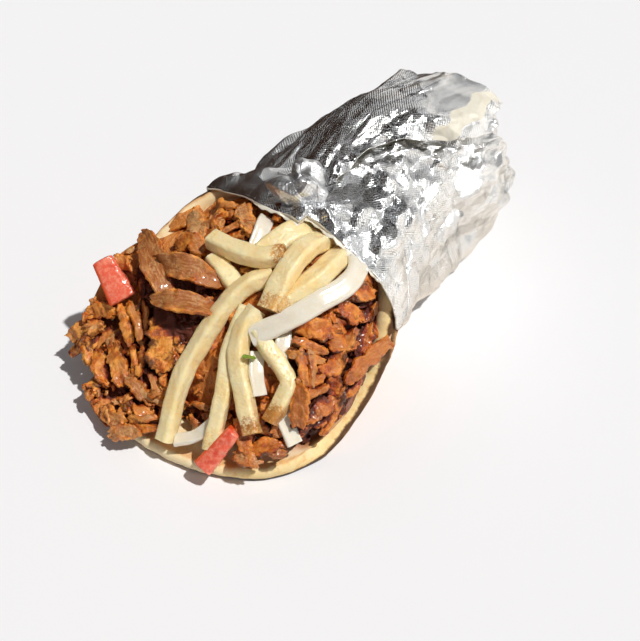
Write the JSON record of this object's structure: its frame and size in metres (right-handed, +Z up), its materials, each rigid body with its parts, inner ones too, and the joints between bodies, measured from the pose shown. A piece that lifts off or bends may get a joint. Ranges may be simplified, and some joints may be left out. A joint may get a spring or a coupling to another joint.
{
  "type": "doner kebab sandwich",
  "caption": "Thick flatbread rolled round shaved meat, fries, onion and tomato, with its closed end wrapped in paper-lined foil, lying on its side.",
  "frame": {"origin": "centre of the bottom of the bounding box, on the surface the sandwich lies on", "axes": "+Y along the roll from its open mouth to its foil-wrapped end, +Z up, +X to the right seen from the mouth"},
  "size_m": [0.1184, 0.2056, 0.0771],
  "materials": {
    "bread": "soft griddled flatbread, pale inside and toasted at its edge",
    "foil": "crumpled, finely embossed foil with an off-white paper lining",
    "meat": "moist, seared shavings of meat",
    "fry": "soft, oily, pale yellow fries with browned ends",
    "onion": "translucent, wet onion",
    "tomato": "wet tomato flesh and skin"
  },
  "bodies": {
    "root": {"flatbread": "bread", "foil_wrap": "foil", "meat_filling": "meat", "fry_1": "fry", "fry_2": "fry", "fry_3": "fry", "fry_4": "fry", "fry_5": "fry", "fry_6": "fry", "fry_7": "fry", "fry_8": "fry", "fry_9": "fry", "onion_1": "onion", "onion_2": "onion", "onion_3": "onion", "onion_4": "onion", "onion_5": "onion", "onion_6": "onion", "tomato_1": "tomato", "tomato_2": "tomato"}
  },
  "joints": []
}
